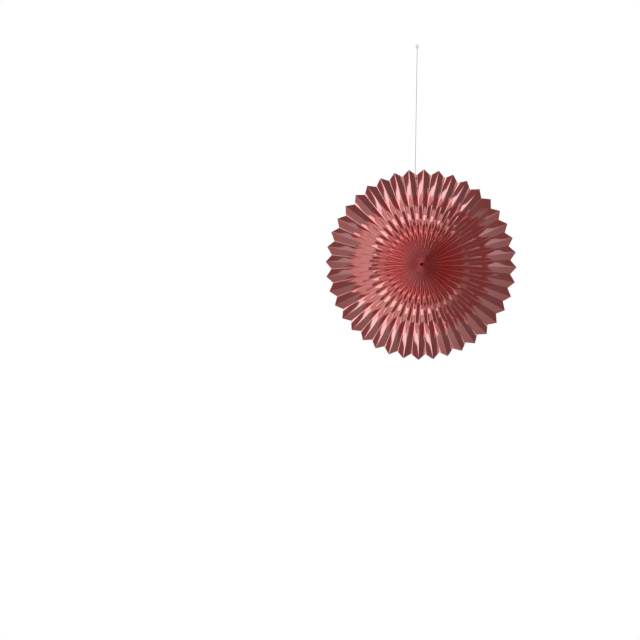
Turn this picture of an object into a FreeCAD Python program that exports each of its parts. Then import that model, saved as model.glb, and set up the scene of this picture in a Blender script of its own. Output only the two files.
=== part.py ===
"""Paper fan rosette on its hanging thread.

The rosette is one strip of metallised card, folded to and fro and closed to a ring, so that its pleats run
from a small hole in the middle to a rim cut to points. A thread through a punched hole in each panel gathers
the inner ends. Another thread, tied through two punched holes beside a fold at the rim, carries the rosette
and ends at the top in a small loop.

Frame: millimetres, +Z up, the rosette's front faces -Y. The origin is the centre of the hang loop.
"""

import FreeCAD, Part
import math
import os
import Sketcher

V = FreeCAD.Vector

SIZES = [
    # The folded card
    ("pleat_count", 40, "pleats in the whole ring, two panels each"),
    ("tip_radius", 200.0, "from the axis to a point of the rim"),
    ("point_height", 12.0, "from a point's tip down to the notches beside it"),
    ("card_thickness", 0.25, "metallised card"),
    ("hub_packing", 1.1, "room that the packed inner ends take, over their bare thickness"),
    ("hub_depth", 12.4, "from front folds to back folds, at the axis"),
    ("rim_depth", 7.2, "from front folds to back folds, at the tips"),
    ("cone_rise", 18.6, "how far the middle stands in front of the rim"),
    ("fan_turn", 1.7, "degrees that the topmost tip lies clockwise of the top"),
    # The thread that gathers the inner ends
    ("gather_inset", 2.5, "from the inner ends out to the punched holes"),
    ("gather_thread_diameter", 0.6, "thread through the inner ends"),
    ("gather_knot_diameter", 5.6, "its knot, which nearly fills the hole in the middle"),
    ("thread_clearance", 0.1, "round the gathering thread in its holes"),
    # The thread that the rosette hangs on
    ("hanging_thread_diameter", 1.0, "twisted thread"),
    ("hanging_thread_length", 271.2, "between its two knots"),
    ("hanging_thread_lean", 0.94, "degrees off the plumb line"),
    ("loop_radius", 2.7, "hang loop, to the middle of its thread"),
    ("knot_length", 2.4, "each knot, along the thread"),
    ("knot_diameter", 2.4, "each knot, across"),
    ("tie_inset", 7.0, "from a notch in to the tie's two holes"),
    ("tie_radius", 3.4, "rim tie, to the middle of its thread"),
    ("tie_hole_diameter", 2.2, "punched for the tie, one on each side of a fold"),
    ("tie_knot_side", 3.5, "from the fold sideways to the knot"),
    ("tie_knot_back", 1.6, "from the fold back to the knot"),
]

# A panel's slant steepens towards the middle, so its wall is drawn in this many straight spans
SPANS = 6

doc = FreeCAD.newDocument("paper_fan_rosette")


def make_sheet():
    """The driving dimensions, one row each: name, value, meaning."""
    new = doc.addObject("Spreadsheet::Sheet", "sizes")
    for row, (name, number, meaning) in enumerate(SIZES, start=1):
        new.set(f"A{row}", name)
        new.set(f"B{row}", str(number))
        new.set(f"C{row}", meaning)
        new.setAlias(f"B{row}", name)
    doc.recompute()
    return new


sheet = make_sheet()

# Values worked out from the sheet, as expressions
COUNT = "sizes.pleat_count"
HALF_ANGLE = f"(180 / {COUNT})"
THICKNESS = "sizes.card_thickness"
TIP_RADIUS = "sizes.tip_radius"
HUB_RADIUS = f"({COUNT} * {THICKNESS} * sizes.hub_packing / pi)"
NOTCH_RADIUS = f"({TIP_RADIUS} - sizes.point_height)"
GATHER_RADIUS = f"({HUB_RADIUS} + sizes.gather_inset)"
GATHER_HOLE_RADIUS = "(sizes.gather_thread_diameter / 2 + sizes.thread_clearance)"
TIE_REACH = f"({NOTCH_RADIUS} - sizes.tie_inset)"
TIE_FOLD_ANGLE = f"((floor({COUNT} / 4) + 0.5) * 360 / {COUNT})"
THREAD_RADIUS = "(sizes.hanging_thread_diameter / 2)"


def half_pitch(radius):
    """Half a pleat's width across, in the plane that stands square to its front fold."""
    return f"({radius} * tan({HALF_ANGLE}))"


def pleat_depth(radius):
    """From the front folds to the back folds: both are straight, so it tapers evenly."""
    return f"(sizes.hub_depth + (sizes.rim_depth - sizes.hub_depth) * {radius} / {TIP_RADIUS})"


def middle_height(radius):
    """Height of the cone that lies halfway between the front folds and the back folds."""
    return f"(sizes.cone_rise * (1 - {radius} / {TIP_RADIUS}))"


def panel_width(radius):
    """Across one panel, from its front fold to its back fold."""
    return f"sqrt({half_pitch(radius)} ^ 2 + {pleat_depth(radius)} ^ 2)"


# Where things hang. The thread starts under the hang loop at the origin and leans a little to the left.
THREAD_TURN = "rotationy(sizes.hanging_thread_lean)"
THREAD_START = "(sizes.loop_radius + sizes.knot_length)"
THREAD_END = f"({THREAD_START} + sizes.hanging_thread_length)"
KNOT_REACH = f"({THREAD_END} + sizes.knot_length / 2)"


def along_thread_across(reach):
    """How far to the side the thread's line is, at a length below the origin."""
    return f"(-{reach} * sin(sizes.hanging_thread_lean))"


def along_thread_up(reach):
    """How high the thread's line is, at a length below the origin."""
    return f"(-{reach} * cos(sizes.hanging_thread_lean))"


# The rosette hangs from its tie: the fold that the tie goes round lies beside the knot and in front of it
KNOT_ACROSS = along_thread_across(KNOT_REACH)
KNOT_UP = along_thread_up(KNOT_REACH)
TIE_FOLD_X = f"({TIE_REACH} * cos({HALF_ANGLE}))"
TIE_FOLD_TURNED = f"({TIE_FOLD_ANGLE} - sizes.fan_turn)"
HUB_ACROSS = f"({KNOT_ACROSS} + sizes.tie_knot_side - {TIE_REACH} * cos({TIE_FOLD_TURNED}))"
HUB_UP = f"({KNOT_UP} - {TIE_REACH} * sin({TIE_FOLD_TURNED}))"
FAN_BACK = f"({middle_height(TIE_FOLD_X)} - {pleat_depth(TIE_FOLD_X)} / 2 - sizes.tie_knot_back)"
FAN_TURN = "rotationx(90) * rotationz(-sizes.fan_turn)"


def worth(expression):
    """What an expression comes to with the sheet's present numbers."""
    return float(sheet.evalExpression(f"({expression}) * 1"))


def new_sketch(body, name, role, offset="0"):
    """An empty sketch on one of the body's own origin planes, set off from it along its normal."""
    plane = [item for item in body.Origin.OriginFeatures if item.Role == role][0]
    sketch = body.newObject("Sketcher::SketchObject", name)
    sketch.AttachmentSupport = [(plane, "")]
    sketch.MapMode = "FlatFace"
    sketch.setExpression("AttachmentOffset.Base.z", offset)
    return sketch


def bind(sketch, constraint, expression):
    """Adds a dimension to the sketch and ties it to an expression."""
    place = sketch.addConstraint(constraint)
    sketch.setExpression(f"Constraints[{place}]", expression)


def bind_point(sketch, edge, end, across, along):
    """Holds one point of a sketch's edge at two expressions, measured from the sketch's origin."""
    bind(sketch, Sketcher.Constraint("DistanceX", -1, 1, edge, end, worth(across)), across)
    bind(sketch, Sketcher.Constraint("DistanceY", -1, 1, edge, end, worth(along)), along)


def draw_outline(sketch, corners):
    """A closed outline of straight edges. Each corner is a pair of expressions."""
    points = [V(worth(across), worth(along), 0) for across, along in corners]
    edges = []
    for start, end in zip(points, points[1:] + points[:1]):
        edges.append(sketch.addGeometry(Part.LineSegment(start, end), False))
    for edge, following in zip(edges, edges[1:] + edges[:1]):
        sketch.addConstraint(Sketcher.Constraint("Coincident", edge, 2, following, 1))
    for edge, (across, along) in zip(edges, corners):
        bind_point(sketch, edge, 1, across, along)


def draw_circle(sketch, across, along, radius):
    """A full circle. Its centre and radius are expressions."""
    centre = V(worth(across), worth(along), 0)
    circle = sketch.addGeometry(Part.Circle(centre, V(0, 0, 1), worth(radius)), False)
    bind_point(sketch, circle, 3, across, along)
    bind(sketch, Sketcher.Constraint("Radius", circle, worth(radius)), radius)


def revolve(body, name, sketch, axis_role):
    """Turns a closed sketch round one of the body's own axes."""
    axis = [item for item in body.Origin.OriginFeatures if item.Role == axis_role][0]
    feature = body.newObject("PartDesign::Revolution", name)
    feature.Profile = sketch
    feature.ReferenceAxis = (axis, [""])
    feature.Angle = 360
    return feature


def pleat_section(body, index):
    """The card's wall across one pleat, square to its front fold.

    The outline runs over the front of both panels, with a narrow flat on the front fold, and back behind
    them, with half of each back fold's flat at the ends. The stations lie in even ratios, closest together
    at the hub, where the slant changes fastest.
    """
    radius = f"({HUB_RADIUS} * (({TIP_RADIUS} + {THICKNESS}) / {HUB_RADIUS}) ^ ({index} / {SPANS}))"
    half = half_pitch(radius)
    width = panel_width(radius)
    crest = f"({middle_height(radius)} + {pleat_depth(radius)} / 2)"
    trough = f"({middle_height(radius)} - {pleat_depth(radius)} / 2)"
    wall = f"({THICKNESS} / 2)"
    inner = f"({wall} * {width} / {half})"
    flat = f"({wall} * ({width} - {half}) / {pleat_depth(radius)})"
    corners = [
        (f"-{half}", f"{trough} + {inner}"),
        (f"-{flat}", f"{crest} + {wall}"),
        (flat, f"{crest} + {wall}"),
        (half, f"{trough} + {inner}"),
        (half, f"{trough} - {wall}"),
        (f"{half} - {flat}", f"{trough} - {wall}"),
        ("0", f"{crest} - {inner}"),
        (f"{flat} - {half}", f"{trough} - {wall}"),
        (f"-{half}", f"{trough} - {wall}"),
    ]
    sketch = new_sketch(body, f"pleat_section_{index}", "YZ_Plane", radius)
    draw_outline(sketch, corners)
    return sketch


def make_pleat():
    """One pleat of the card, its front fold along +X and its front towards +Z."""
    body = doc.addObject("PartDesign::Body", "one_pleat")
    sections = [pleat_section(body, index) for index in range(SPANS + 1)]
    panels = body.newObject("PartDesign::AdditiveLoft", "panels")
    panels.Profile = sections[0]
    panels.Sections = [(section, [""]) for section in sections[1:]]
    panels.Ruled = True
    doc.recompute()

    # The point: straight cuts from the tip on the front fold to the notches on the back folds
    notch_across = f"({NOTCH_RADIUS} * cos({HALF_ANGLE}))"
    notch_along = f"({NOTCH_RADIUS} * sin({HALF_ANGLE}))"
    past = "1.2"
    side_across = f"({TIP_RADIUS} + {past} * ({notch_across} - {TIP_RADIUS}))"
    side_along = f"({past} * {notch_along})"
    beyond = f"({TIP_RADIUS} + {notch_along})"
    trimmed = new_sketch(body, "outside_the_point", "XY_Plane", "-2 * sizes.hub_depth")
    draw_outline(trimmed, [
        (TIP_RADIUS, "0"),
        (side_across, f"-{side_along}"),
        (beyond, f"-{side_along}"),
        (beyond, side_along),
        (side_across, side_along),
    ])
    point = body.newObject("PartDesign::Pocket", "point")
    point.Profile = trimmed
    point.Reversed = True
    point.setExpression("Length", "4 * sizes.hub_depth + sizes.cone_rise")
    doc.recompute()

    # The punched holes for the gathering thread, one in each panel, on a circle round the axis
    punched = new_sketch(body, "gather_hole", "XZ_Plane")
    draw_circle(punched, GATHER_RADIUS, middle_height(GATHER_RADIUS), GATHER_HOLE_RADIUS)
    axis = [item for item in body.Origin.OriginFeatures if item.Role == "Z_Axis"][0]
    holes = body.newObject("PartDesign::Groove", "gather_holes")
    holes.Profile = punched
    holes.ReferenceAxis = (axis, [""])
    holes.Angle = 360
    doc.recompute()
    return body


def is_cut_face(face, slope):
    """Whether a face of the pleat lies where it meets the next pleat, in a plane through the axis."""
    return all(abs(abs(corner.Y) - slope * corner.X) < 1e-6 for corner in face.Vertexes)


def make_ring(pleat):
    """The closed ring: the pleat's walls, once for each pleat, sewn along the back folds."""
    count = int(worth(COUNT))
    slope = worth(f"tan({HALF_ANGLE})")
    walls = [face for face in pleat.Shape.Faces if not is_cut_face(face, slope)]
    faces = []
    for index in range(count):
        for wall in walls:
            copy = wall.copy()
            copy.rotate(V(0, 0, 0), V(0, 0, 1), index * 360 / count)
            faces.append(copy)
    shell = Part.makeShell(faces)
    shell.sewShape()
    solid = Part.Solid(shell)
    if solid.Volume < 0:
        solid.reverse()
    ring = doc.addObject("Part::Feature", "pleated_ring")
    ring.Shape = solid
    return ring


def place(item, across, back, up, turn):
    """Binds an object's placement to expressions: where its origin lies, and how it is turned."""
    item.setExpression("Placement", f"placement(vector({across}; {back}; {up}); {turn})")


def make_drill(name, radius, length, across, along, up, turn):
    """A cylinder that cuts a hole. It starts at a point of the rosette's own frame."""
    drill = doc.addObject("Part::Cylinder", name)
    drill.setExpression("Radius", radius)
    drill.setExpression("Height", length)
    place(drill, across, along, up, turn)
    return drill


def make_strand_way():
    """The slot through the innermost walls for the two strands that lead in to the knot."""
    half = "(sizes.gather_thread_diameter + sizes.thread_clearance)"
    length = f"({GATHER_RADIUS} + sizes.thread_clearance)"
    way = doc.addObject("Part::Box", "strand_way")
    way.setExpression("Length", length)
    way.setExpression("Width", f"2 * {half}")
    way.setExpression("Height", f"2 * {half}")
    place(way, f"-{length}", f"-{half}", f"{middle_height(GATHER_RADIUS)} - {half}", "rotationz(0)")
    return way


def make_fan(ring):
    """The folded card, with the tie's two holes at the rim and the gathering thread's way in."""
    tie_beside = f"(sizes.tie_radius * {half_pitch(TIE_FOLD_X)} / {panel_width(TIE_FOLD_X)})"
    fold_across = f"{TIE_REACH} * cos({TIE_FOLD_ANGLE})"
    fold_along = f"{TIE_REACH} * sin({TIE_FOLD_ANGLE})"
    drills = []
    for name, side in (("tie_hole_left", "1"), ("tie_hole_right", "-1")):
        across = f"{fold_across} - {side} * {tie_beside} * sin({TIE_FOLD_ANGLE})"
        along = f"{fold_along} + {side} * {tie_beside} * cos({TIE_FOLD_ANGLE})"
        drills.append(make_drill(name, "sizes.tie_hole_diameter / 2", "2 * sizes.hub_depth",
                                 across, along, "-sizes.hub_depth", "rotationz(0)"))
    fan = ring
    for drill in [make_strand_way()] + drills:
        name = "paper_fan" if drill == drills[-1] else f"card_less_{drill.Name}"
        punched = doc.addObject("Part::Cut", name)
        punched.Base = fan
        punched.Tool = drill
        punched.Refine = False
        fan = punched
    place(fan, HUB_ACROSS, FAN_BACK, HUB_UP, FAN_TURN)
    return fan


def make_knot(body, name, centre, length, diameter, strand_radius):
    """A knot as a barrel round the body's Z axis, narrowing at both ends to the thread's own radius."""
    barrel = new_sketch(body, f"{name}_profile", "XZ_Plane")
    draw_outline(barrel, [
        ("0", f"{centre} + {length} / 2"),
        (strand_radius, f"{centre} + {length} / 2"),
        (f"{diameter} / 2", f"{centre} + {length} / 5"),
        (f"{diameter} / 2", f"{centre} - {length} / 5"),
        (strand_radius, f"{centre} - {length} / 2"),
        ("0", f"{centre} - {length} / 2"),
    ])
    return revolve(body, name, barrel, "Z_Axis")


def make_gather_thread():
    """The thread round the hub, its two ends drawn in to a knot in the middle."""
    body = doc.addObject("PartDesign::Body", "gather_thread")
    level = middle_height(GATHER_RADIUS)
    around = new_sketch(body, "thread_round_the_hub", "XZ_Plane")
    draw_circle(around, GATHER_RADIUS, level, "sizes.gather_thread_diameter / 2")
    revolve(body, "ring", around, "Z_Axis")
    ends = new_sketch(body, "both_ends", "YZ_Plane")
    draw_circle(ends, "0", level, "sizes.gather_thread_diameter")
    strand = body.newObject("PartDesign::Pad", "strand")
    strand.Profile = ends
    strand.Reversed = True
    strand.setExpression("Length", GATHER_RADIUS)
    make_knot(body, "knot", level, "sizes.gather_knot_diameter", "sizes.gather_knot_diameter",
              "sizes.gather_thread_diameter / 2")
    place(body, HUB_ACROSS, FAN_BACK, HUB_UP, FAN_TURN)
    return body


def make_hang_loop():
    """The small loop at the top and the knot that closes it."""
    body = doc.addObject("PartDesign::Body", "hang_loop")
    around = new_sketch(body, "loop_thread", "XY_Plane")
    draw_circle(around, "sizes.loop_radius", "0", THREAD_RADIUS)
    revolve(body, "loop", around, "Y_Axis")
    make_knot(body, "knot", "-(sizes.loop_radius + sizes.knot_length / 2)", "sizes.knot_length",
              "sizes.knot_diameter", THREAD_RADIUS)
    place(body, "0", "0", "0", THREAD_TURN)
    return body


def make_hanging_thread():
    """The taut thread, one straight run from knot to knot."""
    thread = doc.addObject("Part::Cylinder", "hanging_thread")
    thread.setExpression("Radius", THREAD_RADIUS)
    thread.setExpression("Height", "sizes.hanging_thread_length")
    place(thread, along_thread_across(THREAD_END), "0", along_thread_up(THREAD_END), THREAD_TURN)
    return thread


def make_rim_tie():
    """The knot behind the rim, and the small loop that it closes through the card, round a back fold."""
    body = doc.addObject("PartDesign::Body", "rim_tie")
    make_knot(body, "knot", "0", "sizes.knot_length", "sizes.knot_diameter", THREAD_RADIUS)
    around = new_sketch(body, "tie_thread", "XZ_Plane", "sizes.tie_knot_back")
    around.setExpression("AttachmentOffset.Base.x", "sizes.tie_knot_side")
    draw_circle(around, "sizes.tie_radius", "0", THREAD_RADIUS)
    loop = body.newObject("PartDesign::Revolution", "loop")
    loop.Profile = around
    loop.ReferenceAxis = (around, ["V_Axis"])
    loop.Angle = 360
    place(body, KNOT_ACROSS, "0", KNOT_UP, THREAD_TURN)
    return body


def stop_if_broken(parts):
    """Raises an error where an object failed, or where a part has no sound shape."""
    for item in doc.Objects:
        if "Invalid" in item.State or "Error" in item.State:
            raise RuntimeError(f"{item.Name} failed: {item.State}")
    for item in parts:
        if item.Shape.isNull() or not item.Shape.isValid():
            raise RuntimeError(f"{item.Label} has no valid shape")
        if len(item.Shape.Solids) != 1:
            raise RuntimeError(f"{item.Label} is not one solid")


def write_parts(parts):
    """One file for each part, named by its label."""
    os.makedirs("parts", exist_ok=True)
    for item in parts:
        item.Shape.exportStep(f"parts/{item.Label}.step")
        box = item.Shape.BoundBox
        print(f"{item.Label}: {item.Shape.Volume:.2f} mm3, {len(item.Shape.Faces)} faces, "
              f"x {box.XMin:.2f} {box.XMax:.2f}, y {box.YMin:.2f} {box.YMax:.2f}, z {box.ZMin:.2f} {box.ZMax:.2f}")


pleat = make_pleat()
parts = [
    make_fan(make_ring(pleat)),
    make_gather_thread(),
    make_hang_loop(),
    make_hanging_thread(),
    make_rim_tie(),
]
doc.recompute()
stop_if_broken(parts)
write_parts(parts)

thread_section = math.pi * worth(THREAD_RADIUS) ** 2
print(f"hanging thread: volume {parts[3].Shape.Volume:.3f}, "
      f"section times length {thread_section * worth('sizes.hanging_thread_length'):.3f}")
print(f"hub at x {worth(HUB_ACROSS):.3f}, z {worth(HUB_UP):.3f}; hub radius {worth(HUB_RADIUS):.3f}")
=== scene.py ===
"""Paper fan rosette: the looks of the folded card, its threads and knots, and the studio round them.

All lengths are metres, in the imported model's frame: +Z up, the rosette faces -Y, and the origin is the centre
of the hang loop. The rosette's own frame has its origin on the axis, +Z to the front, and +Y along the front
fold that stands topmost.
"""

import math

import bpy
import numpy as np
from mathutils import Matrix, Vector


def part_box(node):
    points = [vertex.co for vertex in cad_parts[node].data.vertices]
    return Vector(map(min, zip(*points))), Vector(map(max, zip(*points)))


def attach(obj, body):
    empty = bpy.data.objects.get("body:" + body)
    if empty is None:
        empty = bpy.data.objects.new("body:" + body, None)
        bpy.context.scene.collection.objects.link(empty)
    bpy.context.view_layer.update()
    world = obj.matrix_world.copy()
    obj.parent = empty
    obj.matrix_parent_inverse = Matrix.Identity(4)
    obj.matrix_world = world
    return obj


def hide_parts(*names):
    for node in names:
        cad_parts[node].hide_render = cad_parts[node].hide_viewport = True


bl_info = {
    "name": "Paper Fan Rosette",
    "version": (1, 0, 0),
    "blender": (4, 5, 0),
    "location": "View3D > Sidebar > Rosette",
    "description": "Dresses a pleated rosette of metallised card with its threads",
    "category": "Add Mesh",
}

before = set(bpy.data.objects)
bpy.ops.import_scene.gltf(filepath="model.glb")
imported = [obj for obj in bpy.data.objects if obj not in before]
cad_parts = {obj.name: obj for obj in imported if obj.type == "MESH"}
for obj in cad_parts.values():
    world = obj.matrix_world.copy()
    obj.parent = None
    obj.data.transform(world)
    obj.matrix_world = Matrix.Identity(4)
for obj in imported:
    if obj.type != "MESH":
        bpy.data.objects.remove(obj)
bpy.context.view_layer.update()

MM = 0.001
PHOTO_PIXELS = 640
ROOT = "root"

# Faces that meet at more than this have a sharp edge between them
SHARP_ANGLE = math.radians(60)

# The seed of the card's small strays
STRAY_SEED = 1824

# The strays begin at the first of these hub radii from the axis, and are full at the second
STRAYS_BEGIN, STRAYS_FULL = 3, 13

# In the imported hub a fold's radius is at most this share of half a pleat's pitch
PACKED_SHARE = 0.48

# Shares of the tip radius: the painted light half way out lies between the first two,
# and the painted shade at the hub lies within the third
PAINTED_LIGHT_FROM, PAINTED_LIGHT_TO = 0.1, 0.92
HUB_PAINTED_SHADE_WITHIN = 0.2

# One turn of the hanging thread's plies, and the steps that its strands are drawn in
LAY_LENGTH = 3.6 * MM
STRAND_STEP = 0.3 * MM

# Each lamp: degrees right of the front, degrees up, degrees wide, degrees tall, metres away, brightness
LAMPS = {
    "left_soft_box": (-35, 0, 20, 66, 4.5, 1.75),
    "side_soft_box": (-71, 8, 12, 84, 3.6, 1.15),
    "low_side_fill": (-84, 10, 12, 80, 3.6, 0.45),
    "front_fill": (-13, 4, 20, 50, 6.0, 0.6),
    "right_strip": (46, 5, 16, 40, 4.5, 0.6),
    "top_soft_box": (0, 78, 40, 24, 3.0, 0.3),
    "back_soft_box": (150, 30, 40, 40, 3.5, 0.8),
}


class RosetteCard(bpy.types.PropertyGroup):
    """Sizes and colour of the folded card."""

    pleat_count: bpy.props.IntProperty(
        name="Pleats", description="Pleats in the whole ring, two panels each", default=40, min=8)
    tip_radius: bpy.props.FloatProperty(
        name="Tip radius", description="From the axis to a point of the rim",
        default=200 * MM, unit="LENGTH")
    point_height: bpy.props.FloatProperty(
        name="Point height", description="From a point's tip down to the notches beside it",
        default=12 * MM, unit="LENGTH")
    thickness: bpy.props.FloatProperty(
        name="Card thickness", description="Thickness of the metallised card",
        default=0.25 * MM, unit="LENGTH")
    hub_radius: bpy.props.FloatProperty(
        name="Hub radius", description="Radius of the hole in the middle",
        default=3.501 * MM, unit="LENGTH")
    hub_depth: bpy.props.FloatProperty(
        name="Depth at the hub", description="From front folds to back folds, at the axis",
        default=12.4 * MM, unit="LENGTH")
    rim_depth: bpy.props.FloatProperty(
        name="Depth at the rim", description="From front folds to back folds, at the tips",
        default=7.2 * MM, unit="LENGTH")
    cone_rise: bpy.props.FloatProperty(
        name="Cone rise", description="How far the middle stands in front of the rim",
        default=18.6 * MM, unit="LENGTH")
    turn: bpy.props.FloatProperty(
        name="Turn", description="How far the topmost tip lies clockwise of the top",
        default=math.radians(1.7), subtype="ANGLE")
    fold_radius: bpy.props.FloatProperty(
        name="Fold radius", description="Radius that the card bends to at a fold",
        default=0.5 * MM, unit="LENGTH")
    valley_radius: bpy.props.FloatProperty(
        name="Valley radius", description="Radius of the back folds at the rim, where they spring open",
        default=3.0 * MM, unit="LENGTH")
    panel_hollow: bpy.props.FloatProperty(
        name="Panel hollow", description="How hollow the middle of a panel is at the rim",
        default=0.35 * MM, unit="LENGTH")
    fold_wander: bpy.props.FloatProperty(
        name="Fold wander", description="How far a fold strays forward or back",
        default=0.1 * MM, unit="LENGTH")
    side_wander: bpy.props.FloatProperty(
        name="Side wander", description="How far a fold strays sideways at the rim",
        default=0.3 * MM, unit="LENGTH")
    panel_bow: bpy.props.FloatProperty(
        name="Panel bow", description="How far the middle of a panel bows out of its plane",
        default=0.04 * MM, unit="LENGTH")
    foil_colour: bpy.props.StringProperty(
        name="Foil colour", description="sRGB hex value of the metallised face", default="FFBDBC")
    # The colour below is a paler rose painted half way out, as painted light
    halfway_painted_light_colour: bpy.props.StringProperty(
        name="Halfway colour", description="sRGB hex value of the metallised face half way out",
        default="FFD0CE")


class RosetteThread(bpy.types.PropertyGroup):
    """Sizes and colours of the threads and their knots."""

    hanging_diameter: bpy.props.FloatProperty(
        name="Hanging thread", description="Diameter of the thread that the rosette hangs on",
        default=1.0 * MM, unit="LENGTH")
    hanging_length: bpy.props.FloatProperty(
        name="Hanging length", description="Length of the hanging thread between its knots",
        default=271.2 * MM, unit="LENGTH")
    lean: bpy.props.FloatProperty(
        name="Lean", description="Angle of the hanging thread off the plumb line",
        default=math.radians(0.94), subtype="ANGLE")
    loop_radius: bpy.props.FloatProperty(
        name="Loop radius", description="Radius of the hang loop, to the middle of its thread",
        default=2.7 * MM, unit="LENGTH")
    knot_length: bpy.props.FloatProperty(
        name="Knot length", description="Length of a knot along the thread",
        default=2.4 * MM, unit="LENGTH")
    tie_radius: bpy.props.FloatProperty(
        name="Tie radius", description="Radius of the rim tie, to the middle of its thread",
        default=3.4 * MM, unit="LENGTH")
    tie_side: bpy.props.FloatProperty(
        name="Tie to the side", description="From the rim knot sideways to the tie's centre",
        default=3.5 * MM, unit="LENGTH")
    tie_front: bpy.props.FloatProperty(
        name="Tie to the front", description="From the rim knot forward to the tie's centre",
        default=1.6 * MM, unit="LENGTH")
    wrap_radius: bpy.props.FloatProperty(
        name="Wrap radius", description="From a knot's axis to the middle of its wraps",
        default=0.7 * MM, unit="LENGTH")
    tuck: bpy.props.FloatProperty(
        name="Tuck", description="How far a knot's straight core stops short of its end",
        default=0.3 * MM, unit="LENGTH")
    tie_inset: bpy.props.FloatProperty(
        name="Tie inset", description="From a notch of the rim in to the tie's two holes",
        default=7.0 * MM, unit="LENGTH")
    tie_hole: bpy.props.FloatProperty(
        name="Tie hole", description="Diameter of the two holes punched for the tie",
        default=2.2 * MM, unit="LENGTH")
    clearance: bpy.props.FloatProperty(
        name="Clearance", description="Gap round the gathering thread in its holes",
        default=0.1 * MM, unit="LENGTH")
    gather_diameter: bpy.props.FloatProperty(
        name="Gathering thread", description="Diameter of the thread through the inner ends",
        default=0.6 * MM, unit="LENGTH")
    gather_radius: bpy.props.FloatProperty(
        name="Gathering radius", description="Radius of the gathering thread's ring",
        default=6.001 * MM, unit="LENGTH")
    gather_knot: bpy.props.FloatProperty(
        name="Gathering knot", description="Diameter of the knot in the middle",
        default=5.6 * MM, unit="LENGTH")
    hanging_colour: bpy.props.StringProperty(
        name="Hanging thread colour", description="sRGB hex value of the hanging thread",
        default="827C80")
    gather_colour: bpy.props.StringProperty(
        name="Gathering thread colour", description="sRGB hex value of the gathering thread",
        default="4E2022")


class RosetteStage(bpy.types.PropertyGroup):
    """The camera, lamps, floor and backdrop."""

    lens: bpy.props.FloatProperty(
        name="Lens", description="Focal length of the camera, in millimetres", default=200.0)
    sensor: bpy.props.FloatProperty(
        name="Sensor", description="Width of the camera's sensor, in millimetres", default=36.0)
    hub_across: bpy.props.FloatProperty(
        name="Hub across", description="Pixels from the photograph's left edge to the hub",
        default=421.0)
    hub_down: bpy.props.FloatProperty(
        name="Hub down", description="Pixels from the photograph's top edge to the hub",
        default=264.6)
    pixel_size: bpy.props.FloatProperty(
        name="Pixel size", description="What one pixel of the photograph covers at the rim",
        default=2.096 * MM, unit="LENGTH")
    room_grey: bpy.props.FloatProperty(
        name="Room grey", description="Plain light that comes from the room all round",
        default=0.11)


def linear(hex_text):
    """An sRGB hex value as linear red, green, blue and alpha."""
    parts = [int(hex_text[place:place + 2], 16) / 255 for place in (0, 2, 4)]
    return [c / 12.92 if c <= 0.04045 else ((c + 0.055) / 1.055) ** 2.4 for c in parts] + [1.0]


def add_node(tree, kind, settings, links):
    """Adds a node. Settings are properties or inputs' constants. Links join inputs to other outputs."""
    node = tree.nodes.new(kind)
    for name, value in settings.items():
        if hasattr(node, name):
            setattr(node, name, value)
    for name, value in settings.items():
        if not hasattr(node, name):
            node.inputs[name].default_value = value
    for name, source in links.items():
        tree.links.new(source, node.inputs[name])
    return node


def new_tree(name):
    """An empty node material and its tree."""
    material = bpy.data.materials.new(name)
    material.use_nodes = True
    material.node_tree.nodes.clear()
    return material, material.node_tree


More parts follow.
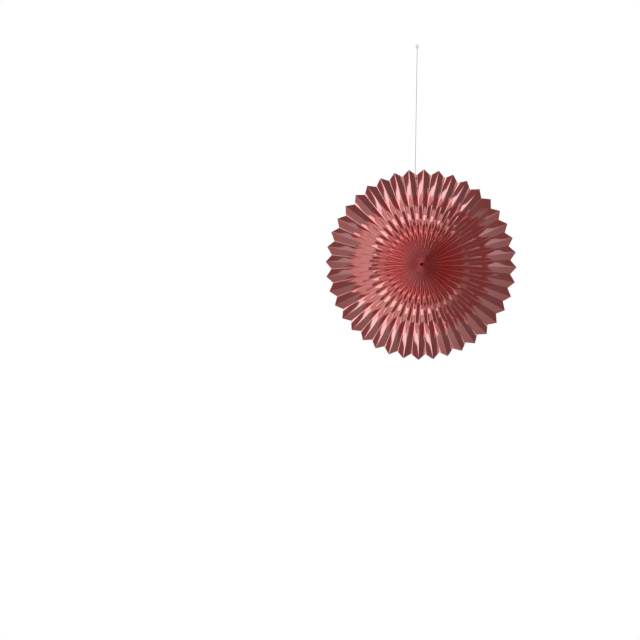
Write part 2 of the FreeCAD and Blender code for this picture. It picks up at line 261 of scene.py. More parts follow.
def metallised_card(colour, halfway_painted_light_colour):
    """Metallised card: aluminium vapour on smooth board, under a rose lacquer.

    The film is almost a mirror, so the pleats mirror each other and the lamps, and each bounce makes the rose
    deeper. The lacquer's own red pigment is matt and keeps the shade from going black. The bounces alone
    come out redder than the photograph half way out, so a paler rose with less pigment is painted there as
    painted light. At the hub more pigment is painted in as a deep red painted shade, which is a guess. Neither
    stands for wear, and the photograph shows none. Guessed too, and not seen in the photograph: an unevenness
    of the board about 1 mm across, shallow waves about 30 mm long, and a slightly rougher film along the folds.
    """
    material, tree = new_tree("metallised_card")
    place = add_node(tree, "ShaderNodeTexCoord", {}, {})
    fold = add_node(tree, "ShaderNodeAttribute", {"attribute_name": "fold"}, {})
    fibres = add_node(tree, "ShaderNodeTexNoise", {"Scale": 1 / (1.0 * MM), "Detail": 2.0},
                      {"Vector": place.outputs["Object"]})
    waves = add_node(tree, "ShaderNodeTexNoise", {"Scale": 1 / (30 * MM), "Detail": 1.0},
                     {"Vector": place.outputs["Object"]})
    waved = add_node(tree, "ShaderNodeBump", {"Strength": 1.0, "Distance": 0.06 * MM},
                     {"Height": waves.outputs["Fac"]})
    grained = add_node(tree, "ShaderNodeBump", {"Strength": 1.0, "Distance": 0.004 * MM},
                       {"Height": fibres.outputs["Fac"], "Normal": waved.outputs["Normal"]})

    # The film's rose, paler half way out as painted light, and a little mottled
    halfway_painted_light = add_node(tree, "ShaderNodeAttribute", {"attribute_name": "halfway_painted_light"}, {})
    # The share at the hub that takes a deep red painted shade
    inner = add_node(tree, "ShaderNodeAttribute", {"attribute_name": "inner"}, {})
    tone = add_node(tree, "ShaderNodeMix", {"data_type": "RGBA"}, {"Factor": halfway_painted_light.outputs["Fac"]})
    tone.inputs[6].default_value = linear(colour)
    tone.inputs[7].default_value = linear(halfway_painted_light_colour)
    mottled = add_node(tree, "ShaderNodeMapRange", {"To Min": 0.96, "To Max": 1.04},
                       {"Value": waves.outputs["Fac"]})
    uneven = add_node(tree, "ShaderNodeHueSaturation", {},
                      {"Color": tone.outputs[2], "Value": mottled.outputs["Result"]})
    rough = add_node(tree, "ShaderNodeMapRange", {"To Min": 0.09, "To Max": 0.18},
                     {"Value": fold.outputs["Fac"]})
    film = add_node(tree, "ShaderNodeBsdfPrincipled", {"Metallic": 1.0},
                    {"Base Color": uneven.outputs["Color"], "Roughness": rough.outputs["Result"],
                     "Normal": grained.outputs["Normal"]})
    pigment = add_node(tree, "ShaderNodeBsdfPrincipled",
                       {"Base Color": linear("F2140F"), "Roughness": 0.6, "Specular IOR Level": 0.0},
                       {"Normal": grained.outputs["Normal"]})

    # How much of the look the pigment takes: less half way out, which is painted light, and more at the hub,
    # which is a deep red painted shade
    pigment_and_painted_light = add_node(tree, "ShaderNodeMapRange", {"To Min": 0.28, "To Max": 0.19},
                      {"Value": halfway_painted_light.outputs["Fac"]})
    hub_painted_shade = add_node(tree, "ShaderNodeMapRange", {"To Min": 0.0, "To Max": 0.4},
                     {"Value": inner.outputs["Fac"]})
    share = add_node(tree, "ShaderNodeMath", {"operation": "ADD"}, {})
    tree.links.new(pigment_and_painted_light.outputs["Result"], share.inputs[0])
    tree.links.new(hub_painted_shade.outputs["Result"], share.inputs[1])
    mixed = add_node(tree, "ShaderNodeMixShader", {}, {"Fac": share.outputs["Value"]})
    tree.links.new(film.outputs[0], mixed.inputs[1])
    tree.links.new(pigment.outputs[0], mixed.inputs[2])
    add_node(tree, "ShaderNodeOutputMaterial", {}, {"Surface": mixed.outputs[0]})
    return material


def twisted_polyester(name, colour, diameter):
    """Twisted polyester thread: plies of many fine filaments, soft and a little silky.

    Filaments about a tenth of the thread across run along each ply and break its shade up. They are drawn as
    a noise of that width, and a coarser one, about three diameters long, varies the dye.
    """
    material, tree = new_tree(name)
    place = add_node(tree, "ShaderNodeTexCoord", {}, {})
    filaments = add_node(tree, "ShaderNodeTexNoise", {"Scale": 10 / diameter, "Detail": 2.0},
                         {"Vector": place.outputs["Object"]})
    dye = add_node(tree, "ShaderNodeTexNoise", {"Scale": 0.33 / diameter, "Detail": 1.0},
                   {"Vector": place.outputs["Object"]})
    base = linear(colour)
    shade = add_node(tree, "ShaderNodeMix", {"data_type": "RGBA"}, {"Factor": dye.outputs["Fac"]})
    shade.inputs[6].default_value = [c * 0.82 for c in base[:3]] + [1.0]
    shade.inputs[7].default_value = [min(1.0, c * 1.15) for c in base[:3]] + [1.0]
    relief = add_node(tree, "ShaderNodeBump", {"Strength": 0.5, "Distance": 0.05 * diameter},
                      {"Height": filaments.outputs["Fac"]})
    shader = add_node(tree, "ShaderNodeBsdfPrincipled",
                      {"Roughness": 0.6, "Sheen Weight": 0.1},
                      {"Base Color": shade.outputs[2], "Normal": relief.outputs["Normal"]})
    add_node(tree, "ShaderNodeOutputMaterial", {}, {"Surface": shader.outputs["BSDF"]})
    return material


def matt_floor():
    """Matt emulsion on a studio floor, rolled on, so very slightly stippled."""
    material, tree = new_tree("matt_emulsion")
    place = add_node(tree, "ShaderNodeTexCoord", {}, {})
    stipple = add_node(tree, "ShaderNodeTexNoise", {"Scale": 1 / (15 * MM), "Detail": 2.0},
                       {"Vector": place.outputs["Object"]})
    relief = add_node(tree, "ShaderNodeBump", {"Strength": 0.2, "Distance": 0.3 * MM},
                      {"Height": stipple.outputs["Fac"]})
    shader = add_node(tree, "ShaderNodeBsdfPrincipled",
                      {"Base Color": linear("E9E7E4"), "Roughness": 0.8},
                      {"Normal": relief.outputs["Normal"]})
    add_node(tree, "ShaderNodeOutputMaterial", {}, {"Surface": shader.outputs["BSDF"]})
    return material


def white_paper_sweep():
    """A roll of white background paper: plain white to the camera and in reflections, matt to other light."""
    material, tree = new_tree("white_background_paper")
    path = add_node(tree, "ShaderNodeLightPath", {}, {})
    seen = add_node(tree, "ShaderNodeMath", {"operation": "MAXIMUM"}, {})
    tree.links.new(path.outputs["Is Camera Ray"], seen.inputs[0])
    tree.links.new(path.outputs["Is Glossy Ray"], seen.inputs[1])
    through = add_node(tree, "ShaderNodeMath", {"operation": "MAXIMUM"}, {})
    tree.links.new(seen.outputs[0], through.inputs[0])
    tree.links.new(path.outputs["Is Transmission Ray"], through.inputs[1])
    paper = add_node(tree, "ShaderNodeBsdfDiffuse", {"Color": linear("F4F4F2")}, {})
    white = add_node(tree, "ShaderNodeEmission", {"Color": linear("FFFFFF"), "Strength": 1.0}, {})
    mixed = add_node(tree, "ShaderNodeMixShader", {}, {"Fac": through.outputs[0]})
    tree.links.new(paper.outputs[0], mixed.inputs[1])
    tree.links.new(white.outputs[0], mixed.inputs[2])
    add_node(tree, "ShaderNodeOutputMaterial", {}, {"Surface": mixed.outputs[0]})
    return material


def new_object(name, vertices, faces, material, sharp_angle=None):
    """Puts arrays of points and four-cornered or three-cornered faces into a mesh object at the origin."""
    mesh = bpy.data.meshes.new(name)
    mesh.from_pydata(vertices.tolist(), [], faces if isinstance(faces, list) else faces.tolist())
    mesh.validate()
    mesh.polygons.foreach_set("use_smooth", np.ones(len(mesh.polygons), dtype=bool))
    if sharp_angle is not None:
        mesh.set_sharp_from_angle(angle=sharp_angle)
    mesh.materials.append(material)
    item = bpy.data.objects.new(name, mesh)
    bpy.context.collection.objects.link(item)
    return item


def rosette_to_world(card, points):
    """Points of the rosette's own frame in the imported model's: turned clockwise, then stood up to face -Y."""
    low, high = (np.array(corner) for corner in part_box("paper_fan"))
    hub = (low + high) / 2
    middle = card.cone_rise * (1 - card.hub_radius / card.tip_radius)
    depth = card.hub_depth + (card.rim_depth - card.hub_depth) * card.hub_radius / card.tip_radius
    back = low[1] + middle + depth / 2 + card.thickness / 2
    c, s = math.cos(card.turn), math.sin(card.turn)
    across = points[..., 0] * c + points[..., 1] * s
    up = points[..., 1] * c - points[..., 0] * s
    return np.stack([hub[0] + across, back - points[..., 2], hub[2] + up], axis=-1)


def wander(chance, folds, along, waves=4):
    """Smooth random courses, one for each fold: a sum of a few cosines, each weaker than the last."""
    course = np.zeros((folds, len(along)))
    for wave in range(waves):
        size = chance.normal(0, 1 / (1 + wave), (folds, 1))
        phase = chance.uniform(0, 2 * math.pi, (folds, 1))
        course += size * np.cos(math.pi * wave * along[None, :] + phase)
    return course


def card_grid(card):
    """The folded card as two grids of points, front and back, and how near a fold, half way and hub each is.

    Rows run out along the pleats and columns round the ring. Across half a pleat, from the middle of a back
    fold to the middle of the next front fold, the card's middle line is an arc, a straight wall and an arc
    the other way. With half a pleat's pitch p, its depth D and the sum s of the two folds' radii, the wall
    slants at atan((D - s) / p) + asin(s / sqrt(p^2 + (D - s)^2)). The folds are straight and lie half the
    depth in front of and behind a shallow cone. Near the hub their radius shrinks with the pitch, and towards
    the rim the back folds spring open with the cube of the distance out. Each panel is hollow by a parabola
    from fold to fold that deepens with the square of that distance. The photograph shows neither of these,
    and they are guesses. The two sides stand half the card's thickness off the middle line. A point that
    lies q half-pitches beside the front fold ends at the rim where it meets the straight cut from tip to
    notch, x = R m / (m + |q| tan(a)), where a is half the pleat's angle and m the slope of the cut. The shares
    half way out and at the hub mask the painted light half way out and the deep red painted shade at the hub.
    """
    count = card.pleat_count
    half_angle = math.pi / count
    slant = math.tan(half_angle)
    notch = card.tip_radius - card.point_height
    cut_slope = notch * math.sin(half_angle) / (card.tip_radius - notch * math.cos(half_angle))
    wall = card.thickness / 2

    # Half a pleat from back fold to front fold, as shares of the first arc, the wall and the last arc
    first = np.array([0, 0.33, 0.67, 1, 1, 1, 1, 1, 1, 1, 1])
    run = np.array([0, 0, 0, 0, 0.25, 0.5, 0.75, 1, 1, 1, 1])
    last = np.array([0, 0, 0, 0, 0, 0, 0, 0, 0.33, 0.67, 1])
    first, run, last = (np.concatenate([part, part[-2:0:-1]]) for part in (first, run, last))
    side = np.concatenate([np.full(11, -1.0), np.full(9, 1.0)])

    # Rows crowd towards the hub, and a narrow last one keeps the cut edge crisp
    along = np.append(np.linspace(0, 1, 40)[:-1] ** 1.3, [0.9985, 1])

    def section(x):
        """At a distance x out: half the pitch, the card's lean, and its place beside the fold and in depth."""
        depth = card.hub_depth + (card.rim_depth - card.hub_depth) * x / card.tip_radius
        pitch = x * slant
        front = np.minimum(card.fold_radius, PACKED_SHARE * pitch)
        back = card.fold_radius + (card.valley_radius - card.fold_radius) * (x / card.tip_radius) ** 3
        back = np.minimum(back, PACKED_SHARE * pitch)
        rise = depth - front - back
        angle = np.arctan2(rise, pitch) + np.arcsin((front + back) / np.hypot(pitch, rise))
        length = (pitch - (front + back) * np.sin(angle)) / np.cos(angle)
        lean = angle * (first - last)
        beside = (back * np.sin(angle * first) + run * length * np.cos(angle)
                  + front * (np.sin(angle) - np.sin(angle * (1 - last))))
        height = (back * (1 - np.cos(angle * first)) + run * length * np.sin(angle)
                  + front * (np.cos(angle * (1 - last)) - np.cos(angle)))
        return pitch, lean, pitch - beside, height - depth / 2

    # The rim's place depends on q, and q a little on x, so x is settled in a few steps
    x = card.hub_radius + (card.tip_radius - card.hub_radius) * along[:, None] + np.zeros(len(side))
    for step in range(4):
        pitch, lean, off, height = section(x)
        end = card.tip_radius * cut_slope / (cut_slope + off / pitch * slant)
        x = card.hub_radius + (end - card.hub_radius) * along[:, None]
    pitch, lean, off, height = section(x)
    height = height + card.cone_rise * (1 - x / card.tip_radius)
    share = 1 - off / pitch

    # Small strays of a hand-folded card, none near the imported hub
    chance = np.random.default_rng(STRAY_SEED)
    calm = np.clip((x / card.hub_radius - STRAYS_BEGIN) / (STRAYS_FULL - STRAYS_BEGIN), 0, 1)
    crest_out = wander(chance, count, along) * card.fold_wander
    back_out = wander(chance, count, along) * card.fold_wander
    crest_side = wander(chance, count, along, 2) * card.side_wander / card.tip_radius
    back_side = wander(chance, count, along, 2) * card.side_wander / card.tip_radius
    bow = wander(chance, 2 * count, along, 3) * card.panel_bow
    pleats = np.arange(count)
    beside = (pleats[:, None] + (side > 0)[None, :]) % count
    panel = 2 * pleats[:, None] + (side > 0)[None, :]

    def blend(fold, valley):
        """A stray between a front fold's and the next back fold's, by the share of the way."""
        return (fold.T[:, :, None] * share[:, None, :]
                + valley.T[:, beside] * (1 - share[:, None, :])) * calm[:, None, :]

    out = blend(crest_out, back_out)
    hollow = card.panel_hollow * (x / card.tip_radius) ** 2
    arch = 4 * share * (1 - share)
    out = out + bow.T[:, panel] * (arch * calm)[:, None, :] - (hollow * arch)[:, None, :]
    turned = blend(crest_side, back_side) + 2 * half_angle * pleats[None, :, None]

    def place(level):
        """The points of one side of the card, half its thickness off the middle line."""
        sideways = side * (off - level * wall * np.sin(lean))
        up = height + level * wall * np.cos(lean)
        radius = np.hypot(x, sideways)[:, None, :]
        angle = np.arctan2(sideways, x)[:, None, :] + turned
        return np.stack([radius * np.cos(angle), radius * np.sin(angle), up[:, None, :] + out], axis=-1)

    fold = np.maximum(1 - first, last) * np.broadcast_to(calm[:, None, :], (len(along), count, len(side)))
    # Shares for the painted light half way out and the deep red painted shade at the hub
    reach = x / card.tip_radius
    halfway_painted_light = np.sin(math.pi * np.clip((reach - PAINTED_LIGHT_FROM) / (PAINTED_LIGHT_TO - PAINTED_LIGHT_FROM), 0, 1))
    inner = np.clip(1 - reach / HUB_PAINTED_SHADE_WITHIN, 0, 1)
    painted_tones = [np.broadcast_to(part[:, None, :], fold.shape) for part in (halfway_painted_light, inner)]
    return ([place(level).reshape(len(along), -1, 3) for level in (1, -1)]
            + [part.reshape(len(along), -1) for part in (fold, *painted_tones)])


def make_card(card):
    """The folded card: its front and back as two closed grids, joined along the rim and along the hub."""
    front, back, fold, halfway_painted_light, inner = card_grid(card)
    rows, columns = front.shape[:2]
    vertices = rosette_to_world(card, np.concatenate([front.reshape(-1, 3), back.reshape(-1, 3)]))
    number = np.arange(rows * columns).reshape(rows, columns)
    following = np.roll(number, -1, axis=1)
    skip = rows * columns

    def quads(a, b, c, d):
        """Four-cornered faces from four arrays of corners."""
        return np.stack([a.ravel(), b.ravel(), c.ravel(), d.ravel()], axis=1)

    faces = np.concatenate([
        quads(number[:-1], number[1:], following[1:], following[:-1]),
        quads(number[:-1] + skip, following[:-1] + skip, following[1:] + skip, number[1:] + skip),
        quads(number[-1], number[-1] + skip, following[-1] + skip, following[-1]),
        quads(number[0], following[0], following[0] + skip, number[0] + skip),
    ])
    material = metallised_card(card.foil_colour, card.halfway_painted_light_colour)
    item = new_object("folded_card", vertices, faces, material, SHARP_ANGLE)
    # The card carries its painted light half way out and its painted shade at the hub as attributes
    for name, values in (("fold", fold), ("halfway_painted_light", halfway_painted_light), ("inner", inner)):
        attribute = item.data.attributes.new(name, "FLOAT", "POINT")
        attribute.data.foreach_set("value", np.concatenate([values.ravel(), values.ravel()]))
    return item


def frames_along(path, reference, closed):
    """Unit vectors square to a path: one nearest the reference vector, and one square to both."""
    if closed:
        ahead = np.roll(path, -1, axis=0) - np.roll(path, 1, axis=0)
    else:
        ahead = np.gradient(path, axis=0)
    ahead /= np.linalg.norm(ahead, axis=1)[:, None]
    first = reference - (ahead @ reference)[:, None] * ahead
    first /= np.linalg.norm(first, axis=1)[:, None]
    return first, np.cross(ahead, first)


def plied_strand(path, reference, diameter, plies, turns, closed, sides=7):
    """A thread of plies laid round a path, as points and faces.

    Each ply is a tube whose centre goes round the path on a helix of that many turns. For a number of plies n
    that touch each other, a ply's radius is R / (1 + 1 / sin(180 degrees / n)), where R is the thread's.
    """
    across, beside = frames_along(path, np.array(reference, dtype=float), closed)
    count = len(path)
    ply = diameter / 2 / (1 + 1 / math.sin(math.pi / plies))
    swing = diameter / 2 - ply
    turned = 2 * math.pi * turns * np.arange(count) / (count if closed else count - 1)
    section = 2 * math.pi * np.arange(sides) / sides
    points = []
    faces = []
    for strand in range(plies):
        at = turned + 2 * math.pi * strand / plies
        centre = path + swing * (across * np.cos(at)[:, None] + beside * np.sin(at)[:, None])
        rim = (across[:, None, :] * np.cos(section)[None, :, None]
               + beside[:, None, :] * np.sin(section)[None, :, None])
        tube = (centre[:, None, :] + ply * rim).reshape(-1, 3)
        start = sum(len(part) for part in points)
        number = start + np.arange(count * sides).reshape(count, sides)
        round_it = np.roll(number, -1, axis=1)
        if closed:
            low, high = number, np.roll(number, -1, axis=0)
            low_next, high_next = round_it, np.roll(round_it, -1, axis=0)
        else:
            low, high, low_next, high_next = number[:-1], number[1:], round_it[:-1], round_it[1:]
        walls = np.stack([low.ravel(), low_next.ravel(), high_next.ravel(), high.ravel()], axis=1)
        faces += walls.tolist()
        if not closed:
            faces.append(number[0][::-1].tolist())
            faces.append(number[-1].tolist())
        points.append(tube)
    return np.concatenate(points), faces


def joined(strands):
    """Several pieces of thread, each as points and faces, as one."""
    points = []
    faces = []
    for vertices, corners in strands:
        start = sum(len(part) for part in points)
        faces += [[start + corner for corner in face] for face in corners]
        points.append(vertices)
    return np.concatenate(points), faces


def ring_path(centre, radius, first, second, steps=96):
    """A circle round a centre, in the plane of two unit vectors."""
    angle = 2 * math.pi * np.arange(steps) / steps
    return (np.array(centre) + radius * np.cos(angle)[:, None] * np.array(first)
            + radius * np.sin(angle)[:, None] * np.array(second))


def knot_path(centre, along, side, length, radius, wraps, steps=110):
    """The wraps of a knot: a helix round its axis that starts and ends near the axis and bulges between.

    At a share s of the way, the distance from the axis is radius sin(180 s degrees) to the power 0.35.
    """
    s = np.linspace(0.03, 0.97, steps)
    along = np.array(along, dtype=float)
    side = np.array(side, dtype=float)
    third = np.cross(along, side)
    reach = radius * np.sin(math.pi * s) ** 0.35
    angle = 2 * math.pi * wraps * s
    return (np.array(centre) + ((s - 0.5) * length)[:, None] * along
            + (reach * np.cos(angle))[:, None] * side + (reach * np.sin(angle))[:, None] * third)


def ball_path(centre, first, second, third, inner, outer, squash, turns, tilt, steps):
    """Thread wound to a ball: great circles tilted off the first axis, each turned a little on from the last.

    At a share s of the way, the point is at 360 s degrees times the turns round a circle that leans by the
    tilt, and that circle has turned 360 s degrees round the first axis. The radius grows from inner to outer,
    and along the first axis the ball is squashed to a share of it.
    """
    s = np.linspace(0, 1, steps)
    first, second, third = (np.array(part, dtype=float) for part in (first, second, third))
    radius = inner + (outer - inner) * s
    round_it = 2 * math.pi * turns * s
    turned = 2 * math.pi * s
    flat = np.cos(round_it)
    rise = np.sin(round_it) * math.sin(tilt) * squash
    other = np.sin(round_it) * math.cos(tilt)
    beside = flat * np.cos(turned) - other * np.sin(turned)
    beyond = flat * np.sin(turned) + other * np.cos(turned)
    return (np.array(centre) + (radius * rise)[:, None] * first + (radius * beside)[:, None] * second
            + (radius * beyond)[:, None] * third)


def tight_core(centre, wide, deep, rings=14, sides=40):
    """The innermost turns of a knot, drawn so tight that they are one body: an ellipsoid with closed poles.

    At a latitude u and a longitude v, a point is wide cos(u) cos(v), wide cos(u) sin(v), deep sin(u).
    """
    u = np.linspace(-math.pi / 2, math.pi / 2, rings + 2)[1:-1, None]
    v = 2 * math.pi * np.arange(sides)[None, :] / sides
    shell = np.stack([wide * np.cos(u) * np.cos(v), wide * np.cos(u) * np.sin(v),
                      deep * np.sin(u) + 0 * v], axis=-1).reshape(-1, 3)
    points = np.concatenate([shell, [[0, 0, -deep], [0, 0, deep]]]) + np.array(centre)
    number = np.arange(rings * sides).reshape(rings, sides)
    beside = np.roll(number, -1, axis=1)
    walls = np.stack([number[:-1].ravel(), beside[:-1].ravel(), beside[1:].ravel(), number[1:].ravel()],
                     axis=1)
    south = np.stack([beside[0], number[0], np.full(sides, rings * sides)], axis=1)
    north = np.stack([number[-1], beside[-1], np.full(sides, rings * sides + 1)], axis=1)
    return points, walls.tolist() + south.tolist() + north.tolist()


def straight(start, end, steps):
    """Points at even distances from a start to an end."""
    share = np.linspace(0, 1, steps)[:, None]
    return np.array(start) * (1 - share) + np.array(end) * share


def thread_axis(thread):
    """The unit vectors down along the hanging thread and square to it, to the right."""
    down = np.array([-math.sin(thread.lean), 0.0, -math.cos(thread.lean)])
    right = np.array([math.cos(thread.lean), 0.0, -math.sin(thread.lean)])
    return down, right


def read_route(points):
    """The points that Blender gives along a smooth NURBS curve with these control points."""
    curve = bpy.data.curves.new("route", "CURVE")
    curve.dimensions = "3D"
    spline = curve.splines.new("NURBS")
    spline.points.add(len(points) - 1)
    spline.points.foreach_set("co", np.concatenate([points, np.ones((len(points), 1))], axis=1).ravel())
    spline.order_u = 3
    spline.use_endpoint_u = True
    spline.resolution_u = 24
    item = bpy.data.objects.new("route", curve)
    bpy.context.collection.objects.link(item)
    bpy.context.view_layer.update()
    mesh = bpy.data.meshes.new_from_object(item.evaluated_get(bpy.context.evaluated_depsgraph_get()))
    read = np.zeros(len(mesh.vertices) * 3)
    mesh.vertices.foreach_get("co", read)
    bpy.data.objects.remove(item)
    bpy.data.curves.remove(curve)
    bpy.data.meshes.remove(mesh)
    return read.reshape(-1, 3)


def evenly(path, step):
    """The same path with points at even distances of about one step, straight between its own points."""
    runs = np.linalg.norm(np.diff(path, axis=0), axis=1)
    reach = np.concatenate([[0], np.cumsum(runs)])
    wanted = np.linspace(0, reach[-1], int(reach[-1] / step) + 2)
    return np.stack([np.interp(wanted, reach, path[:, axis]) for axis in range(3)], axis=1)


def cut(item, cutters):
    """Takes the cutters out of a piece, and removes them."""
    for cutter in cutters:
        modifier = item.modifiers.new("hole", "BOOLEAN")
        modifier.operation = "DIFFERENCE"
        modifier.solver = "MANIFOLD"
        modifier.object = cutter
    bpy.context.view_layer.update()
    made = bpy.data.meshes.new_from_object(item.evaluated_get(bpy.context.evaluated_depsgraph_get()))
    item.modifiers.clear()
    made.set_sharp_from_angle(angle=SHARP_ANGLE)
    old = item.data
    item.data = made
    bpy.data.meshes.remove(old)
    for cutter in cutters:
        mesh = cutter.data
        bpy.data.objects.remove(cutter)
        bpy.data.meshes.remove(mesh)


def round_bar(name, path, reference, radius, closed, sides=16):
    """A plain round bar along a path, to cut with."""
    points, faces = plied_strand(path, reference, 2 * radius, 1, 0, closed, sides)
    return new_object(name, points, faces, bpy.data.materials.get("metallised_card"))


class ROSETTE_OT_card(bpy.types.Operator):
    """Makes the folded card with its punched holes"""

    bl_idname = "rosette.card"
    bl_label = "Folded card"

    def execute(self, context):
        card = context.scene.rosette_card
        thread = context.scene.rosette_thread
        item = make_card(card)
        level = card.cone_rise * (1 - thread.gather_radius / card.tip_radius)
        clear = thread.clearance
        d = thread.gather_diameter
        ring = ring_path([0, 0, level], thread.gather_radius, (1, 0, 0), (0, 1, 0), 160)
        way = straight([0, 0, level], [-thread.gather_radius - clear, 0, level], 2)
        holes = [
            round_bar("gather_ring_hole", rosette_to_world(card, ring), (0, 1, 0), d / 2 + clear, True, 12),
            round_bar("gather_way", rosette_to_world(card, way), (0, 1, 0), d + clear, False),
        ]
        fold_angle = (card.pleat_count // 4 + 0.5) * 2 * math.pi / card.pleat_count
        reach = card.tip_radius - card.point_height - thread.tie_inset
        x = reach * math.cos(math.pi / card.pleat_count)
        depth = card.hub_depth + (card.rim_depth - card.hub_depth) * x / card.tip_radius
        pitch = x * math.tan(math.pi / card.pleat_count)
        beside = thread.tie_radius * pitch / math.hypot(pitch, depth)
        for side in (-1, 1):
            at = [reach * math.cos(fold_angle) - side * beside * math.sin(fold_angle),
                  reach * math.sin(fold_angle) + side * beside * math.cos(fold_angle)]
            bar = straight([*at, -card.hub_depth], [*at, card.hub_depth], 2)
            holes.append(round_bar("tie_hole", rosette_to_world(card, bar), (1, 0, 0), thread.tie_hole / 2,
                                   False, 32))
        cut(item, holes)
        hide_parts("paper_fan")
        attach(item, ROOT)
        return {"FINISHED"}


class ROSETTE_OT_gathering(bpy.types.Operator):
    """Makes the thread that gathers the inner ends, and its knot"""

    bl_idname = "rosette.gathering"
    bl_label = "Gathering thread"

    def execute(self, context):
        card = context.scene.rosette_card
        thread = context.scene.rosette_thread
        d = thread.gather_diameter
        level = card.cone_rise * (1 - thread.gather_radius / card.tip_radius)
        centre = np.array([0, 0, level])
        ring = ring_path(centre, thread.gather_radius, (1, 0, 0), (0, 1, 0), 160)
        parts = [plied_strand(rosette_to_world(card, ring), (0, 1, 0), d, 2, 22, True)]
        for side in (-0.5, 0.5):
            run = straight([-thread.gather_radius, side * d, level], [0, side * d, level], 40)
            parts.append(plied_strand(rosette_to_world(card, run), (0, 1, 0), d, 2, 5, False))

        # An inner and an outer layer of windings over a tight core, pressed into the card's inner ends
        outer = card.hub_radius + 0.1 * MM - d / 2
        squash = (thread.gather_knot - d) / 2 / outer
        for inner, reach, tilt in ((1.1 * MM, outer - 1.3 * d, 0.9), (outer - d, outer, 1.2)):
            wound = ball_path(centre, (0, 0, 1), (1, 0, 0), (0, 1, 0), inner, reach, squash, 13, tilt, 520)
            parts.append(plied_strand(rosette_to_world(card, wound), (0.31, 0.9, 0.27), d, 2, 150, False, 6))
        core, corners = tight_core(centre, card.hub_radius + 0.12 * MM, thread.gather_knot / 2 - 1.5 * d)
        parts.append((rosette_to_world(card, core), corners))
        points, faces = joined(parts)
        material = twisted_polyester("rose_polyester_thread", thread.gather_colour, d)
        item = new_object("gathering_strands", points, faces, material)
        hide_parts("gather_thread")
        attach(item, ROOT)
        return {"FINISHED"}


class ROSETTE_OT_hanging(bpy.types.Operator):
    """Makes the hanging thread, the loop at its top and the tie at its bottom"""

    bl_idname = "rosette.hanging"
    bl_label = "Hanging thread"

    def execute(self, context):
        thread = context.scene.rosette_thread
        d = thread.hanging_diameter
        down, right = thread_axis(thread)
        front = np.array([0.0, -1.0, 0.0])
        material = twisted_polyester("grey_polyester_thread", thread.hanging_colour, d)

        start = thread.loop_radius + thread.knot_length
        end = start + thread.hanging_length
        loop = ring_path([0, 0, 0], thread.loop_radius, right, -down, 120)
        knot = knot_path(down * (thread.loop_radius + thread.knot_length / 2), down, right,
                         thread.knot_length, thread.wrap_radius, 3)
        core = straight(down * (thread.loop_radius + thread.tuck), down * start, 16)
        points, faces = joined([
            plied_strand(loop, (0, 1, 0), d, 3, 5, True),
            plied_strand(knot, (0.2, 1, 0.3), d, 3, 4, False),
            plied_strand(core, (0, 1, 0), d, 3, 1, False),
        ])
        top = new_object("hang_loop_strands", points, faces, material)
        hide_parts("hang_loop")

        lower = down * (end + thread.knot_length / 2)
        tie_centre = lower + right * thread.tie_side + front * thread.tie_front
        tie = ring_path(tie_centre, thread.tie_radius, right, front, 120)
        knot = knot_path(lower, down, right, thread.knot_length, thread.wrap_radius, 3)
        core = straight(down * end, down * (end + thread.knot_length - thread.tuck), 16)
        points, faces = joined([
            plied_strand(tie, down, d, 3, 5, True),
            plied_strand(knot, (0.2, 1, 0.3), d, 3, 4, False),
            plied_strand(core, (0, 1, 0), d, 3, 1, False),
        ])
        bottom = new_object("rim_tie_strands", points, faces, material)
        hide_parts("rim_tie")

        # Taut from knot to knot, with a point six diameters from each
        route = np.array([down * end, down * (end - 6 * d), down * (start + 6 * d), down * start])
        path = read_route(route)
        fine = evenly(path, STRAND_STEP)
        turns = round(thread.hanging_length / LAY_LENGTH)
        points, faces = plied_strand(fine, (0, 1, 0), d, 3, turns, False, 6)
        line = new_object("hanging_thread_strands", points, faces, material)
        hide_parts("hanging_thread")
        for item in (top, bottom, line):
            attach(item, ROOT)
        return {"FINISHED"}


def flat_panel(name, centre, first, second, size, material):
    """A flat four-cornered panel round a centre, along two unit vectors."""
    centre, first, second = (np.array(part, dtype=float) for part in (centre, first, second))
    corners = np.array([[-1, -1], [1, -1], [1, 1], [-1, 1]]) / 2
    points = centre + corners[:, :1] * size[0] * first + corners[:, 1:] * size[1] * second
    item = new_object(name, points, np.array([[0, 1, 2, 3]]), material)
    return item


def soft_lamp(name, hub, turn, rise, wide, tall, distance, brightness):
    """A soft box that faces the hub, placed and sized by the degrees that it lies off and covers from there.

    The turn goes from the front to the right, and the rise up. Power is pi times area times brightness.
    """
    light = bpy.data.lights.new(name, "AREA")
    light.shape = "RECTANGLE"
    light.size = 2 * distance * math.tan(math.radians(wide / 2))
    light.size_y = 2 * distance * math.tan(math.radians(tall / 2))
    light.energy = math.pi * light.size * light.size_y * brightness
    item = bpy.data.objects.new(name, light)
    item.visible_camera = False
    turn, rise = math.radians(turn), math.radians(rise)
    away = np.array([math.sin(turn) * math.cos(rise), -math.cos(turn) * math.cos(rise), math.sin(rise)])
    item.location = hub + away * distance
    flat = math.hypot(away[0], away[1])
    item.rotation_euler = (math.atan2(flat, away[2]), 0, math.atan2(away[0], -away[1]))
    bpy.context.collection.objects.link(item)
    return item


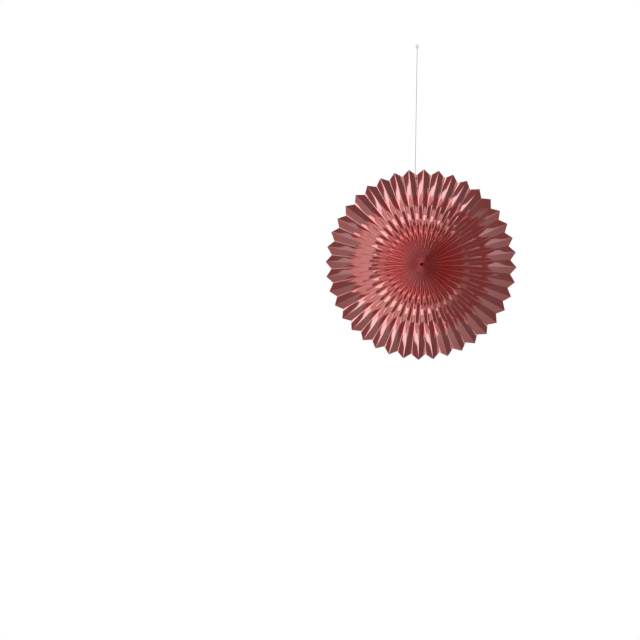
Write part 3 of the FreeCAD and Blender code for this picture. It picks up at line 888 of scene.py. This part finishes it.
class ROSETTE_OT_stage(bpy.types.Operator):
    """Sets up the camera, the lamps, the floor and the backdrop"""

    bl_idname = "rosette.stage"
    bl_label = "Stage"

    def execute(self, context):
        stage = context.scene.rosette_stage
        low, high = (np.array(corner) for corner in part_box("paper_fan"))
        hub = (low + high) / 2
        rim = high[1]

        camera = bpy.data.cameras.new("camera")
        camera.lens = stage.lens
        camera.sensor_width = stage.sensor
        camera.clip_end = 100
        seen = bpy.data.objects.new("camera", camera)
        distance = stage.pixel_size * PHOTO_PIXELS * stage.lens / stage.sensor
        seen.location = (hub[0] - (stage.hub_across - PHOTO_PIXELS / 2) * stage.pixel_size,
                         rim - distance,
                         hub[2] + (stage.hub_down - PHOTO_PIXELS / 2) * stage.pixel_size)
        seen.rotation_euler = (math.radians(90), 0, 0)
        context.collection.objects.link(seen)
        context.scene.camera = seen

        flat_panel("floor", (hub[0] - 0.2, -0.2, -1.35), (1, 0, 0), (0, 1, 0), (3.4, 2.6), matt_floor())
        flat_panel("backdrop", (seen.location[0], 6.0, seen.location[2]), (1, 0, 0), (0, 0, 1),
                   (3.2, 3.2), white_paper_sweep())

        for name, (turn, rise, wide, tall, distance, brightness) in LAMPS.items():
            soft_lamp(name, hub, turn, rise, wide, tall, distance, brightness)

        world = bpy.data.worlds.new("room")
        world.use_nodes = True
        grey = stage.room_grey
        world.node_tree.nodes["Background"].inputs["Color"].default_value = (grey, grey, grey, 1.0)
        context.scene.world = world
        context.scene.cycles.glossy_bounces = 12
        context.scene.view_settings.view_transform = "Standard"
        return {"FINISHED"}


class ROSETTE_PT_panel(bpy.types.Panel):
    """Lists the pieces of the rosette and the stage"""

    bl_label = "Paper fan rosette"
    bl_idname = "ROSETTE_PT_panel"
    bl_space_type = "VIEW_3D"
    bl_region_type = "UI"
    bl_category = "Rosette"

    def draw(self, context):
        layout = self.layout
        for group in (context.scene.rosette_card, context.scene.rosette_thread, context.scene.rosette_stage):
            for name in group.__annotations__:
                layout.prop(group, name)
        for operator in OPERATORS:
            layout.operator(operator.bl_idname)


GROUPS = {"rosette_card": RosetteCard, "rosette_thread": RosetteThread, "rosette_stage": RosetteStage}
OPERATORS = (ROSETTE_OT_stage, ROSETTE_OT_hanging, ROSETTE_OT_card, ROSETTE_OT_gathering)


def register():
    """Adds the classes, and the property groups to the scene."""
    for group in (*GROUPS.values(), *OPERATORS, ROSETTE_PT_panel):
        bpy.utils.register_class(group)
    for name, group in GROUPS.items():
        setattr(bpy.types.Scene, name, bpy.props.PointerProperty(type=group))


def unregister():
    """Takes the property groups and classes away again."""
    for name in GROUPS:
        delattr(bpy.types.Scene, name)
    for group in reversed((*GROUPS.values(), *OPERATORS, ROSETTE_PT_panel)):
        bpy.utils.unregister_class(group)


def main():
    """Makes the stage and every piece."""
    register()
    bpy.ops.rosette.stage()
    bpy.ops.rosette.hanging()
    bpy.ops.rosette.card()
    bpy.ops.rosette.gathering()


if __name__ == "__main__":
    main()
